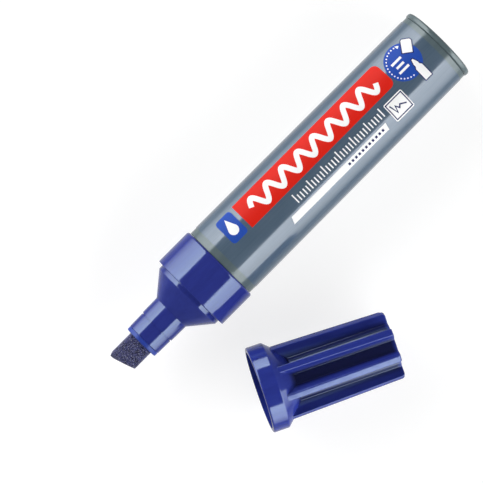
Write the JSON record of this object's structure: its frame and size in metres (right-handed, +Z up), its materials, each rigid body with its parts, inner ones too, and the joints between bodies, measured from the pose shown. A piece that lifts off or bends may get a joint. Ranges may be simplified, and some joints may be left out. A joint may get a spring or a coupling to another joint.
{
  "type": "felt tip marker",
  "caption": "Thick chisel-nib felt marker: round grey barrel, blue stepped nozzle with collar, and its ridged blue cap lying off beside it.",
  "frame": {"origin": "middle of the footprint of the pen and the cap together, on the surface that they lie on", "axes": "+Z up, +X along the pen towards its rear end, so the nib points to -X, and the cap lies on the -Y side"},
  "size_m": [0.112, 0.063, 0.0222],
  "materials": {
    "barrel_plastic": "satin moulded grey plastic",
    "printed_film": null,
    "plug_plastic": "satin moulded grey plastic",
    "blue_plastic": "glossy moulded blue plastic",
    "nib_felt": "ink-soaked speckled felt",
    "reservoir_fibre": "ink-soaked fibre",
    "reservoir_film": "thin clear film",
    "liner_plastic": "soft satin blue plastic"
  },
  "bodies": {
    "pen": {"barrel": "barrel_plastic", "wrap": "printed_film", "end_plug": "plug_plastic", "front_section": "blue_plastic", "nib_holder": "blue_plastic", "reservoir_core": "reservoir_fibre", "reservoir_wrap": "reservoir_film"},
    "nib": {"nib": "nib_felt"},
    "cap": {"cap_shell": "blue_plastic", "cap_liner": "liner_plastic"}
  },
  "joints": [
    {"name": "nib_pull", "type": "slide", "parent": "pen", "child": "nib", "axis": [-1, 0, 0.0086], "range_m": [0, 0.0223]},
    {"name": "cap_slide", "type": "slide", "parent": "pen", "child": "cap", "axis": [0.8957, -0.4446, 0], "range_m": [0, 0.025]}
  ]
}
